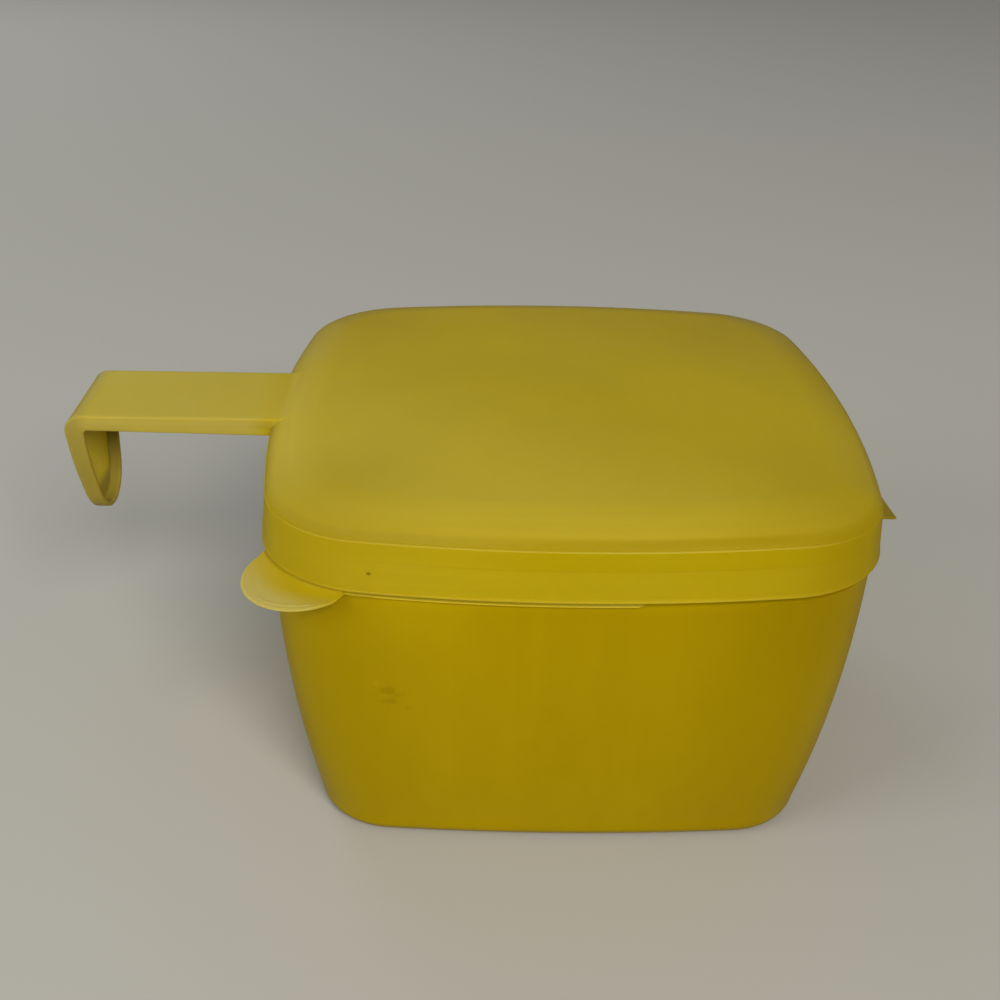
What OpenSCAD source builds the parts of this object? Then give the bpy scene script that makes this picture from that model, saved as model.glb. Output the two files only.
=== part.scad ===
// Square covered bowl: a deep bowl, a seal that grips its rim, and a domed cover with a hooked handle.
// Every level outline is a crowned square: four long side arcs joined by four tangent corner arcs.
// X runs across the bowl with the handle on the -X side, and the bowl stands on Z = 0.

/* [Cover] */
// Width across the lower edge of the skirt
cover_w = 160; // [145:1:175]
// Corner radius of the skirt's lower edge
edge_corner_r = 30.8; // [27:0.2:35]
// Radius of the long side arcs at the skirt's lower edge
edge_crown = 357; // [320:1:450]
// Height of the skirt, from its lower edge to the crease under the dome
skirt_h = 12.9; // [12:0.1:15]
// How far the skirt leans in over that height
skirt_lean = 1.2; // [0.9:0.05:1.5]
// Height of the dome above the crease
dome_h = 5.7; // [4.5:0.1:8]
// How far the nearly flat top starts inside the crease
dome_shoulder = 13.7; // [11:0.1:16]
// Thickness of the skirt's lower band
skirt_t = 1; // [0.9:0.05:1.1]
// Thickness of the upper band, whose underside rests on the seal
seat_t = 3; // [2.7:0.1:3.4]
// Thickness of the dome
dome_t = 1.6; // [1.3:0.1:2]
// Length of the small lip on the side opposite the handle
far_lip_l = 75; // [40:1:80]
// How far that lip stands out from the skirt's lower edge
far_lip_out = 4.4; // [2:0.1:6]

/* [Handle] */
// Width of the handle
handle_w = 32; // [26:1:36]
// How far the handle reaches past the skirt's lower edge
handle_reach = 52.9; // [45:0.1:60]
// Depth of the handle's side flanges
flange_d = 4.3; // [3.8:0.1:4.6]
// Wall thickness of the handle
handle_t = 1.5; // [1.2:0.1:1.8]
// Height of the hook, from the handle's top to the hook's tip
hook_h = 33.5; // [30:0.1:38]
// Depth of the hook's side flanges at the bend
hook_d = 5; // [4.6:0.1:5.6]
// Depth of the hook's side flanges at its tip
hook_tip_d = 4.2; // [4:0.1:5]
// Angle at which the hook leans towards the bowl
hook_lean = 5.1; // [0:0.1:8]
// Radius of the hook's rounded tip
hook_tip_r = 12.5; // [10:0.1:13]
// Outer radius of the bend between handle and hook
bend_r = 4.6; // [3:0.1:5]

/* [Bowl] */
// Height of the bowl
bowl_h = 89.1; // [80:0.1:100]
// How far the skirt's lower edge stands out from the bowl's wall
skirt_overhang = 2.1; // [2:0.05:2.2]
// How far the wall's foot lies inside the skirt's lower edge
base_setback = 13.2; // [9:0.1:17]
// Outward bow of the wall at mid height
wall_bow = 1.9; // [0:0.1:3]
// Corner radius of the wall at its top
mouth_corner_r = 27.6; // [26:0.1:29]
// Corner radius of the wall at its foot
base_corner_r = 20.4; // [17:0.1:24]
// Radius of the long side arcs at the wall's top
mouth_crown = 368; // [350:1:400]
// Radius of the long side arcs at the wall's foot
base_crown = 650; // [450:1:900]
// Radius between wall and underside
foot_r = 4.6; // [3:0.1:6]
// Thickness of the wall
wall_t = 1.8; // [1.5:0.1:2]
// Thickness of the floor
floor_t = 2.2; // [1.8:0.1:2.6]
// Depth of the groove in the underside
groove_d = 0.7; // [0.4:0.1:1]

/* [Seal] */
// Thickness of the seal
seal_t = 0.9; // [0.8:0.05:1]
// How far the panel lies below the seal's top
panel_drop = 4.7; // [4.2:0.1:5.2]
// How far the peel lip shows below the cover's skirt
lip_drop = 1.7; // [1.6:0.1:1.8]
// How far the peel lip runs past the middle of each side
lip_run = 14; // [0:1:30]
// Radius of the thumb tab
tab_r = 14.5; // [12:0.1:16]
// How far the tab's centre lies from the bowl's axis, along X and along Y
tab_offset = 64.9; // [64.5:0.1:67]
// Angle at which the tab falls outwards
tab_droop = 4.6; // [0:0.1:10]
// Thickness of the tab
tab_t = 1.1; // [1:0.1:1.4]

/* [Fit] */
// Clearance between the bowl, the seal and the cover
gap = 0.3; // [0.25:0.01:0.32]
// How far the skirt's lower edge hangs below the top of the bowl
skirt_hang = 6.9; // [6.6:0.1:7.4]

/* [Hidden] */
eps = 0.02;
reach = 1.25 * cover_w; // longer than half the part any way, for the shapes that only cut

// Facets: segments in half a side arc, in a corner arc, in a small fillet, up the wall and over the dome
side_steps = 4;
corner_steps = 10;
fillet_steps = 4;
wall_steps = 8;
dome_steps = 8;
curve_steps = 24;

// Heights of the stacked pieces
edge_z = bowl_h - skirt_hang; // the skirt's lower edge
crease_z = edge_z + skirt_h;
shoulder_z = edge_z - 2.2; // where the bowl's wall steps in under the rim
seal_under_z = bowl_h + gap; // the underside of the seal's channel
seal_top_z = seal_under_z + seal_t;
seat_z = seal_top_z + gap; // the cover's seat above the seal
panel_z = seal_top_z - panel_drop;
lip_z = edge_z - lip_drop; // the lower edge of the peel lip
handle_z = crease_z + dome_h / 2; // the handle's top

// Outlines are [half width, corner radius, side radius]
edge_outline = [cover_w / 2, edge_corner_r, edge_crown];
crease_outline = [cover_w / 2 - skirt_lean, edge_corner_r - 3.5, edge_crown - 12];
top_outline = [crease_outline[0] - dome_shoulder, edge_corner_r - 12.2, edge_crown - 102];
mouth_outline = [cover_w / 2 - skirt_overhang, mouth_corner_r, mouth_crown];
base_outline = [cover_w / 2 - base_setback, base_corner_r, base_crown];

// Insets from the skirt's outer face, going inwards through the stack
seal_out = skirt_t + gap; // outer face of the seal's skirt
seal_in = seal_out + seal_t; // its inner face
rim_out = seal_in + gap; // outer face of the bowl's bead
rim_t = 2.1; // thickness of the bowl's rim at the bead
neck_d = 0.45; // how far the rim is drawn in under the bead
rim_in = rim_out + rim_t; // inner face of the bowl's rim
plug_out = rim_in + gap; // outer face of the seal's inner wall
plug_in = plug_out + seal_t; // its inner face

function mix(a, b, t) = a + (b - a) * t;
function mix_outline(p, q, t) = [mix(p[0], q[0], t), mix(p[1], q[1], t), 1 / mix(1 / p[2], 1 / q[2], t)];

// A section is an outline moved inwards by inset, at the height z
function section(outline, inset, z) = [outline[0] - inset, outline[1] - inset, outline[2] - inset, z];

// Centre of a corner arc, on the diagonal, such that it is tangent to both side arcs
function corner_centre(a, r, crown) =
    let (b = 2 * (crown - a), c = (a - crown) * (a - crown) - (crown - r) * (crown - r))
    (sqrt(b * b - 8 * c) - b) / 4;

// Points of one quarter of an outline, from the middle of one side to the middle of the next
function quarter(a, r, crown) =
    let (c = corner_centre(a, r, crown), turn = atan2(c, c - a + crown), bend = 90 - 2 * turn)
    concat(
        [for (i = [0 : side_steps - 1]) let (t = turn * i / side_steps)
            [a - crown + crown * cos(t), crown * sin(t)]],
        [for (i = [0 : corner_steps - 1]) let (t = turn + bend * i / corner_steps)
            [c + r * cos(t), c + r * sin(t)]],
        [for (i = [0 : side_steps - 1]) let (t = 90 - turn + turn * i / side_steps)
            [crown * cos(t), a - crown + crown * sin(t)]]
    );

function turned(p, q) = q == 0 ? p : q == 1 ? [-p[1], p[0]] : q == 2 ? [-p[0], -p[1]] : [p[1], -p[0]];
function outline_points(a, r, crown) = [for (q = [0 : 3]) for (p = quarter(a, r, crown)) turned(p, q)];
function ring_points(s) = [for (p = outline_points(s[0], s[1], s[2])) [p[0], p[1], s[3]]];

ring_n = 4 * (2 * side_steps + corner_steps);
function ring_strip(j, k) = [for (i = [0 : ring_n - 1]) let (n = (i + 1) % ring_n)
    [j * ring_n + i, k * ring_n + i, k * ring_n + n, j * ring_n + n]];

// A moulding whose skin runs through the sections, from a flat face looking down to one looking up
module moulding(sections) {
    last = len(sections) - 1;
    polyhedron(
        points = [for (s = sections) for (p = ring_points(s)) p],
        faces = concat(
            [[for (i = [0 : ring_n - 1]) i]],
            [for (j = [0 : last - 1]) for (f = ring_strip(j, j + 1)) f],
            [[for (i = [0 : ring_n - 1]) last * ring_n + ring_n - 1 - i]]
        ),
        convexity = 8
    );
}

// A closed band: the same skin, with the last section joined back to the first
module band(sections) {
    last = len(sections) - 1;
    polyhedron(
        points = [for (s = sections) for (p = ring_points(s)) p],
        faces = concat(
            [for (j = [0 : last - 1]) for (f = ring_strip(j, j + 1)) f],
            ring_strip(last, 0)
        ),
        convexity = 8
    );
}

// The skirt's outer outline at a height, which the seal and the bowl's rim also follow
function skirt_at(z) = mix_outline(edge_outline, crease_outline, (z - edge_z) / skirt_h);

// The outer outline of the bowl's wall at a height
function wall_at(z) =
    let (t = (z - foot_r) / (edge_z - foot_r), o = mix_outline(base_outline, mouth_outline, t))
    [o[0] + 4 * wall_bow * t * (1 - t), o[1], o[2]];

// The dome's outline at an angle, from 0 at its foot to 90 at its top: the profile is a superellipse
dome_power = 2 / 1.6;
function dome_section(foot, top, foot_z, h, angle) =
    section(mix_outline(top, foot, pow(cos(angle), dome_power)), 0, foot_z + h * pow(sin(angle), dome_power));

// Bowl
groove_in = 15; // the groove's inner edge, inside the wall's foot
groove_w = 3.6;
groove_slope = 0.6;
inner_foot_r = 7; // radius between the inside of the wall and the floor
rim_round = 0.5;
bead_h = 2.6; // height of the bead at the top of the rim
neck_h = 1.2; // height over which the rim widens into the bead
step_rise = 0.3; // height of the sloping step above the wall

module bowl() {
    foot_o = wall_at(foot_r);
    inner_o = wall_at(floor_t + inner_foot_r);
    rim_inner_o = section(skirt_at(bowl_h), rim_in, 0);
    bead_z = bowl_h - bead_h;
    color([0.66, 0.56, 0.02])
    moulding(concat(
        // underside, with its groove
        [section(foot_o, groove_in, 0),
         section(foot_o, groove_in - groove_slope, groove_d),
         section(foot_o, groove_in - groove_w + groove_slope, groove_d),
         section(foot_o, groove_in - groove_w, 0)],
        // foot radius, then the wall up to the step
        [for (i = [0 : fillet_steps]) let (t = 90 * i / fillet_steps)
            section(foot_o, foot_r * (1 - sin(t)), foot_r * (1 - cos(t)))],
        [for (i = [1 : wall_steps])
            let (z = mix(foot_r, shoulder_z, i / wall_steps)) section(wall_at(z), 0, z)],
        // rim: step, neck, bead and rounded top
        [section(skirt_at(shoulder_z + step_rise), rim_out, shoulder_z + step_rise),
         section(skirt_at(bead_z - neck_h), rim_out + neck_d, bead_z - neck_h),
         section(skirt_at(bead_z), rim_out, bead_z)],
        [for (i = [0 : 2]) let (t = 45 * i, z = bowl_h - rim_round * (1 - sin(t)))
            section(skirt_at(bowl_h - rim_round), rim_out + rim_round * (1 - cos(t)), z)],
        [for (i = [2 : -1 : 0]) let (t = 45 * i, z = bowl_h - rim_round * (1 - sin(t)))
            section(rim_inner_o, -rim_round * (1 - cos(t)), z)],
        // inside: down the rim, out to the wall, down to the floor
        [section(rim_inner_o, 0, bead_z - neck_h), section(wall_at(shoulder_z), wall_t, shoulder_z)],
        [for (i = [wall_steps - 1 : -1 : 1])
            let (z = mix(floor_t + inner_foot_r, shoulder_z, i / wall_steps)) section(wall_at(z), wall_t, z)],
        [for (i = [fillet_steps : -1 : 0]) let (t = 90 * i / fillet_steps)
            section(inner_o, wall_t + inner_foot_r * (1 - sin(t)), floor_t + inner_foot_r * (1 - cos(t)))]
    ));
}

// Inner seal
seal_round = 0.6; // outer radius at the top of the channel
plug_round = 1; // radius between the inner wall and the panel
seal_hem_z = edge_z + 0.3; // lower edge of the seal's skirt, hidden by the cover
ridge_in = 2.6; // the tab's fine ridge, inside its edge
ridge_w = 0.7;
ridge_h = 0.25;
tab_round = 0.4;
tab_step = 0.3; // how far the top of the tab lies below the lip
tab_z = lip_z - tab_step; // the same top, at the centre of the tab
root_overlap = 0.2; // how far the tab's root runs up into the lip
root_low_z = tab_z - tab_t - tab_r * sin(tab_droop); // below the tab everywhere

module seal_shell() {
    plug_o = skirt_at(bowl_h); // the inner wall is upright, like the inside of the bowl's rim
    moulding(concat(
        // underside of the panel, then up the inner wall into the channel
        [section(plug_o, plug_out + 2 * plug_round, panel_z - seal_t)],
        [for (i = [0 : 2]) let (t = 45 * i, z = panel_z - seal_t + plug_round * (1 - cos(t)))
            section(plug_o, plug_out + plug_round * (1 - sin(t)), z)],
        [section(plug_o, plug_out, seal_under_z),
         section(skirt_at(seal_under_z), seal_in, seal_under_z),
         section(skirt_at(seal_hem_z), seal_in, seal_hem_z),
         section(skirt_at(seal_hem_z), seal_out, seal_hem_z)],
        // over the outside of the channel and down to the panel's upper face
        [for (i = [0 : 2]) let (t = 45 * i, z = seal_top_z - seal_round * (1 - sin(t)))
            section(skirt_at(seal_top_z - seal_round), seal_out + seal_round * (1 - cos(t)), z)],
        [section(plug_o, plug_in - seal_round, seal_top_z),
         section(plug_o, plug_in, seal_top_z - seal_round),
         section(plug_o, plug_in, panel_z + plug_round),
         section(plug_o, plug_in + plug_round, panel_z),
         section(plug_o, plug_in + 4 * plug_round, panel_z)]
    ));
}

// A band that follows the skirt's outline between two insets and two heights
module skirt_band(outer_inset, inner_inset, low_z, high_z) {
    band([
        section(skirt_at(low_z), outer_inset, low_z), section(skirt_at(high_z), outer_inset, high_z),
        section(skirt_at(high_z), inner_inset, high_z), section(skirt_at(low_z), inner_inset, low_z)
    ]);
}

// The lip runs along the two sides next to the tab
module peel_lip() {
    intersection() {
        skirt_band(seal_out + eps, seal_in - 2 * eps, lip_z, seal_hem_z + seal_t);
        union() {
            translate([-reach, -reach, 0]) cube([reach + lip_run, reach, reach]);
            translate([-reach, -reach, 0]) cube([reach, reach + lip_run, reach]);
        }
    }
}

// What the tab and its root keep clear of: the bowl's wall, with the gap round it
module wall_clearance() {
    o = section(wall_at(shoulder_z), -gap, 0);
    linear_extrude(height = reach) polygon(outline_points(o[0], o[1], o[2]));
}

// The tab's own frame: on its top, turned down about the line that crosses the bowl's diagonal
module at_tab() {
    translate([-tab_offset, -tab_offset, tab_z]) rotate(a = tab_droop, v = [1, -1, 0]) children();
}

module thumb_tab() {
    difference() {
        at_tab()
        rotate_extrude($fn = 72)
        polygon([
            [0, -tab_t], [tab_r - tab_round, -tab_t], [tab_r, tab_round - tab_t], [tab_r, -tab_round],
            [tab_r - tab_round, 0], [tab_r - ridge_in + ridge_w, 0],
            [tab_r - ridge_in, ridge_h], [tab_r - ridge_in - ridge_w, 0], [0, 0]
        ]);
        wall_clearance();
    }
}

// The root joins the tab to the lip, outside the bowl's wall and under the cover's skirt
module tab_root() {
    intersection() {
        union() {
            skirt_band(skirt_t, seal_in - 3 * eps, lip_z + eps, edge_z - gap);
            difference() {
                skirt_band(skirt_t - eps, seal_in, root_low_z, lip_z + root_overlap);
                wall_clearance();
            }
        }
        at_tab() translate([0, 0, -tab_t / 2]) cylinder(r = tab_r - eps, h = reach, $fn = 72);
    }
}

module inner_seal() {
    color([0.68, 0.62, 0.2])
    union() {
        seal_shell();
        peel_lip();
        thumb_tab();
        tab_root();
    }
}

// Handled cover
crease_step = 0.25; // the small ledge where the skirt ends
edge_round = 0.3;
far_lip_t = 0.8;
handle_root = 4.3; // how far the handle runs in past the crease, into the dome's wall
flange_root = 1.8; // the same for its side flanges
flange_extra = 0.7; // how much deeper the flanges are at the dome
hook_taper_z = 12; // where the hook starts to narrow, below the handle's top
hook_root_in = 0.9; // radius where the hook's flanges meet the handle's

module cover_shell() {
    dome_foot = section(crease_outline, crease_step, 0);
    inner_foot = section(crease_outline, seat_t, 0);
    inner_top = section(top_outline, dome_t, 0);
    inner_z = crease_z - dome_t;
    moulding(concat(
        // underside of the dome, outwards and down to the seat, then down inside the skirt
        [for (i = [dome_steps : -1 : 0])
            dome_section(inner_foot, inner_top, inner_z, dome_h, 90 * i / dome_steps)],
        [section(skirt_at(seat_z), seat_t, seat_z), section(skirt_at(seat_z), skirt_t, seat_z)],
        [section(skirt_at(edge_z), skirt_t, edge_z), section(skirt_at(edge_z), edge_round, edge_z)],
        // outside of the skirt, the ledge at the crease, then the dome
        [section(skirt_at(edge_z + edge_round), 0, edge_z + edge_round),
         section(crease_outline, 0, crease_z - crease_step),
         section(crease_outline, crease_step, crease_z)],
        [for (i = [1 : dome_steps])
            dome_section(dome_foot, top_outline, crease_z, dome_h, 90 * i / dome_steps)]
    ));
}

function arc_points(cx, cz, r, from, to, n) =
    [for (i = [0 : n]) let (t = mix(from, to, i / n)) [cx + r * cos(t), cz + r * sin(t)]];

// Side view of the handle and hook as [x, z], between the outer face moved in by t and the flange edges
module handle_side(t, depth_extra) {
    end_x = -cover_w / 2 - handle_reach; // the hook's outer face at the height of the bend
    root_x = -crease_outline[0] + handle_root;
    top_z = handle_z - t;
    bend_x = end_x + bend_r;
    low = hook_h + depth_extra;
    slope = tan(hook_lean);
    face_x = bend_x - (bend_r - t) * cos(hook_lean);
    face_z = handle_z - bend_r - (bend_r - t) * sin(hook_lean);
    tip_x = face_x + (face_z - handle_z + low) * slope;
    inner_x = end_x + hook_d + depth_extra;
    corner_z = handle_z - flange_d - depth_extra;
    polygon(concat(
        [[root_x, top_z]],
        arc_points(bend_x, handle_z - bend_r, bend_r - t, 90, 180 + hook_lean, 8),
        [[tip_x, handle_z - low],
         [end_x + hook_tip_d + depth_extra + (low - flange_d) * slope, handle_z - low],
         [inner_x + hook_root_in * slope, corner_z - hook_root_in],
         [inner_x + hook_root_in, corner_z],
         [-crease_outline[0], corner_z - flange_extra],
         [root_x, corner_z - flange_extra]]
    ));
}

// End view as [y, z]: straight flanges, then a taper that is tangent to the round tip
module handle_end(t) {
    half = handle_w / 2 - t;
    r = hook_tip_r - t;
    tip_z = handle_z - hook_h + hook_tip_r;
    rise = handle_z - hook_taper_z - tip_z;
    start = atan2(rise, half) - acos(r / norm([half, rise]));
    polygon(concat(
        [[half, handle_z + t], [half, handle_z - hook_taper_z]],
        arc_points(0, tip_z, r, start, -180 - start, curve_steps),
        [[-half, handle_z - hook_taper_z], [-half, handle_z + t]]
    ));
}

module handle_body(t, depth_extra) {
    intersection() {
        rotate([90, 0, 0]) linear_extrude(height = handle_w + 2, center = true) handle_side(t, depth_extra);
        translate([-reach, 0, 0]) rotate([90, 0, 90]) linear_extrude(height = reach) handle_end(t);
    }
}

module handle() {
    // the channel opens towards the bowl, and its flanges stop inside the skirt's upper band
    difference() {
        handle_body(0, 0);
        handle_body(handle_t, 3);
        translate([-crease_outline[0] + flange_root, -reach / 2, 0])
            cube([reach, reach, handle_z - handle_t]);
    }
}

module far_lip() {
    inner = section(edge_outline, skirt_t / 2, 0);
    translate([0, 0, edge_z + eps])
    linear_extrude(height = far_lip_t)
    difference() {
        translate([0, -far_lip_l / 2]) square([edge_outline[0] + far_lip_out, far_lip_l]);
        polygon(outline_points(inner[0], inner[1], inner[2]));
    }
}

module handled_cover() {
    color([0.67, 0.6, 0.13])
    union() {
        cover_shell();
        handle();
        far_lip();
    }
}

bowl();
inner_seal();
handled_cover();
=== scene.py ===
import math

import bmesh
import bpy
import numpy as np
from mathutils import Matrix, Vector


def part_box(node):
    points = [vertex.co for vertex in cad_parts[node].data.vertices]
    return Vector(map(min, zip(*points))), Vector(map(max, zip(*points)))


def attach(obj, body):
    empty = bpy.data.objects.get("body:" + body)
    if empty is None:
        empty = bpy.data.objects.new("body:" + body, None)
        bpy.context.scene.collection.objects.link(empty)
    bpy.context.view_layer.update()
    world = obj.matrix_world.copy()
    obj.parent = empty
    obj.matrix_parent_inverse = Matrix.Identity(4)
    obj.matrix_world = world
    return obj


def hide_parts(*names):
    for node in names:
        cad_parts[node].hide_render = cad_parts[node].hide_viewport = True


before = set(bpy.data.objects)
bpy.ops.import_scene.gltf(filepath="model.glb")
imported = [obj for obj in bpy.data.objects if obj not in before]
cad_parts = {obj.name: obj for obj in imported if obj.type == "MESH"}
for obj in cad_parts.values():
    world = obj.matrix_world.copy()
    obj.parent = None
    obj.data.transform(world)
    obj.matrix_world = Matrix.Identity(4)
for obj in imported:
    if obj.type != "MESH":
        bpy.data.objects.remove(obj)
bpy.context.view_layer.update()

mm = 0.001
keepOff = 0.02  # millimetres that keep two faces from lying on one another
print("frame loaded:", ", ".join(sorted(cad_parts)))


def millimetres(node):
    # lowest and highest corner of a frame node, in millimetres
    low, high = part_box(node)
    return np.array(low) / mm, np.array(high) / mm


bowlHigh = millimetres("bowl")[1]
coverLow, coverHigh = millimetres("handled_cover")

view = {
    "place": (-24.235, -336.579, 245.063),  # millimetres
    "down": 27.96,  # degrees below the horizon
    "right": 1.239,  # degrees turned towards +X
    "tilt": 1.376,  # degrees rolled
    "lens": 47.995,
    "sensor": 36,
    "nearest": 0.01,  # metres in front of it, where the view starts
}


def makeCamera():
    data = bpy.data.cameras.new("viewCamera")
    data.lens = view["lens"]
    data.sensor_width = view["sensor"]
    data.clip_start = view["nearest"]
    camera = bpy.data.objects.new("viewCamera", data)
    bpy.context.scene.collection.objects.link(camera)
    turn = (Matrix.Rotation(-math.radians(view["right"]), 4, "Z")
            @ Matrix.Rotation(math.radians(90 - view["down"]), 4, "X")
            @ Matrix.Rotation(math.radians(view["tilt"]), 4, "Z"))
    camera.matrix_world = Matrix.Translation(Vector(view["place"]) * mm) @ turn
    bpy.context.scene.camera = camera


makeCamera()
print("camera placed")

# Every level of the mouldings is a crowned square: half width, corner radius, side radius.
levels = {
    "edge": (80.0, 30.8, 357.0),  # lower edge of the cover's skirt
    "crease": (78.8, 27.3, 345.0),  # where the skirt meets the dome
    "top": (65.1, 18.6, 255.0),  # where the dome turns nearly flat
    "mouth": (77.9, 27.6, 368.0),  # the bowl's wall under the rim
    "base": (66.8, 20.4, 650.0),  # the bowl's wall at its foot
    "skirtHang": 6.9,  # how far the skirt hangs below the rim
    "skirtHeight": 12.9,
    "gap": 0.3,
    "sideSteps": 12,
    "cornerSteps": 40,
    "capLoops": (0.05, 0.3, 0.55, 0.8),  # loops that close an end, as shares of the end's outline
}
rimHeight = bowlHigh[2]
edgeHeight = rimHeight - levels["skirtHang"]
creaseHeight = edgeHeight + levels["skirtHeight"]
topHeight = coverHigh[2]


def tangency(half, corner, side):
    # centre of the corner arc, on the diagonal, and the angle at which it meets the side arc
    b = 2 * (side - half)
    c = (half - side) ** 2 - (side - corner) ** 2
    centre = (np.sqrt(b * b - 8 * c) - b) / 4
    return centre, np.arctan2(centre, centre - half + side)


def outlineLoops(rows):
    # rows of (half, corner, side, z) -> closed loops of points: in each quarter a side arc,
    # a corner arc and a side arc, all tangent, and the other quarters are the first one turned
    half, corner, side, z = (rows[:, k:k + 1] for k in range(4))
    centre, turn = tangency(half, corner, side)
    u = np.arange(levels["sideSteps"]) / levels["sideSteps"]
    v = np.arange(levels["cornerSteps"]) / levels["cornerSteps"]
    first, bend, last = turn * u, turn + (np.pi / 2 - 2 * turn) * v, np.pi / 2 - turn + turn * u
    x = np.hstack([half - side + side * np.cos(first), centre + corner * np.cos(bend), side * np.cos(last)])
    y = np.hstack([side * np.sin(first), centre + corner * np.sin(bend), half - side + side * np.sin(last)])
    x, y = np.hstack([x, -y, -x, y]), np.hstack([y, x, -y, -x])
    return np.stack([x, y, np.tile(z, (1, x.shape[1]))], -1)


def blendOutline(p, q, t):
    # outline between p and q: widths and corners by length, sides by curvature; t may be an array
    p, q, t = np.array(p, float), np.array(q, float), np.asarray(t, float)[..., None]
    mixed = p + (q - p) * t
    mixed[..., 2] = (1 / (1 / p[2] + (1 / q[2] - 1 / p[2]) * t))[..., 0]
    return mixed


def moved(outline, inset, z):
    # outline moved inwards by inset at height z, as rows (half, corner, side, z)
    outline = np.atleast_2d(outline)
    inset, z = (np.atleast_1d(value).astype(float) for value in (inset, z))
    count = max(len(outline), len(inset), len(z))
    return np.hstack([np.broadcast_to(outline, (count, 3)) - np.broadcast_to(inset[:, None], (count, 1)),
                      np.broadcast_to(z[:, None], (count, 1))])


def skirtAt(z):
    # outline of the skirt's outer face at height z
    share = (np.asarray(z, float) - edgeHeight) / levels["skirtHeight"]
    return blendOutline(levels["edge"], levels["crease"], share)


def softened(parts, steps=4, most=0.48, closest=1e-4):
    # parts are (rows, cut): each row is a corner of the profile, replaced by a quadratic Bezier curve
    # that starts and ends its cut length away along the two neighbouring lines, but no more than the
    # share most of them; points nearer than closest are dropped
    rows = np.vstack([part for part, cut in parts])
    cut = np.hstack([np.full(len(part), float(cut)) for part, cut in parts])
    before = np.vstack([rows[:1], rows[:-1]]) - rows
    after = np.vstack([rows[1:], rows[-1:]]) - rows
    lengths = [np.hypot(way[:, 0], way[:, 3]) + 1e-9 for way in (before, after)]
    start = rows + before * (np.minimum(cut, most * lengths[0]) / lengths[0])[:, None]
    end = rows + after * (np.minimum(cut, most * lengths[1]) / lengths[1])[:, None]
    t = np.linspace(0, 1, steps + 1)[None, :, None]
    curve = (1 - t) ** 2 * start[:, None] + 2 * t * (1 - t) * rows[:, None] + t ** 2 * end[:, None]
    curve = curve.reshape(-1, 4)
    keep = np.hstack([True, np.hypot(np.diff(curve[:, 0]), np.diff(curve[:, 3])) > closest])
    return curve[keep]


def gridFaces(rows, columns, closed=True):
    # quads of a grid of points; closed joins the last column back to the first
    index = np.arange(rows * columns).reshape(rows, columns)
    if closed:
        index = np.hstack([index, index[:, :1]])
    return np.stack([index[:-1, :-1], index[:-1, 1:], index[1:, 1:], index[1:, :-1]], -1).reshape(-1, 4)


def newObject(name, points, faces):
    mesh = bpy.data.meshes.new(name)
    mesh.from_pydata((np.asarray(points) * mm).tolist(), [], [list(map(int, f)) for f in faces])
    obj = bpy.data.objects.new(name, mesh)
    bpy.context.scene.collection.objects.link(obj)
    return obj


def tidied(obj, near=2e-6, flat=1e-7):
    # merges points nearer than near, drops faces thinner than flat and turns all faces outwards
    work = bmesh.new()
    work.from_mesh(obj.data)
    bmesh.ops.remove_doubles(work, verts=work.verts, dist=near)
    bmesh.ops.dissolve_degenerate(work, dist=flat, edges=work.edges)
    bmesh.ops.recalc_face_normals(work, faces=work.faces)
    work.to_mesh(obj.data)
    work.free()
    return obj


def turnedShell(name, rows):
    # skin through level outlines, closed at both ends by shrinking loops and a fan to a middle point
    loops = outlineLoops(rows)
    shrink = np.array(levels["capLoops"])[:, None, None]
    caps = np.dstack([shrink, shrink, np.ones_like(shrink)])
    grid = np.concatenate([loops[:1] * caps, loops, loops[-1:] * caps[::-1]])
    count, around = grid.shape[:2]
    points = np.vstack([grid.reshape(-1, 3), [[0, 0, rows[0, 3]], [0, 0, rows[-1, 3]]]])
    ring = np.arange(around)
    after = np.roll(ring, -1)
    last, middle = (count - 1) * around, np.full(around, count * around)
    fans = np.vstack([np.stack([after, ring, middle], -1),
                      np.stack([last + ring, last + after, middle + 1], -1)])
    return newObject(name, points, list(gridFaces(count, around)) + list(fans))


def closedTube(name, grid):
    # skin over rows that run round a section, with a flat face over its first and its last column
    rows, columns = grid.shape[:2]
    points = np.concatenate([grid, grid[:1]]).reshape(-1, 3)
    first, last = ([k * columns + column for k in range(rows)] for column in (0, columns - 1))
    return tidied(newObject(name, points, [*gridFaces(rows + 1, columns, closed=False), first, last[::-1]]))


def united(main, others):
    # one solid out of several that overlap
    for other in others:
        join = main.modifiers.new("join", "BOOLEAN")
        join.operation, join.solver, join.object = "UNION", "EXACT", other
    graph = bpy.context.evaluated_depsgraph_get()
    mesh = bpy.data.meshes.new_from_object(main.evaluated_get(graph))
    main.modifiers.clear()
    main.data = mesh
    for other in others:
        bpy.data.objects.remove(other, do_unlink=True)
    return main


def finished(obj, body, node, angle=38):
    # smooth shading with sharp edges above an angle, and the piece's place in the frame
    mesh = obj.data
    mesh.shade_smooth()
    mesh.set_sharp_from_angle(angle=math.radians(angle))
    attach(obj, body)
    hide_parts(node)


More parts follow.
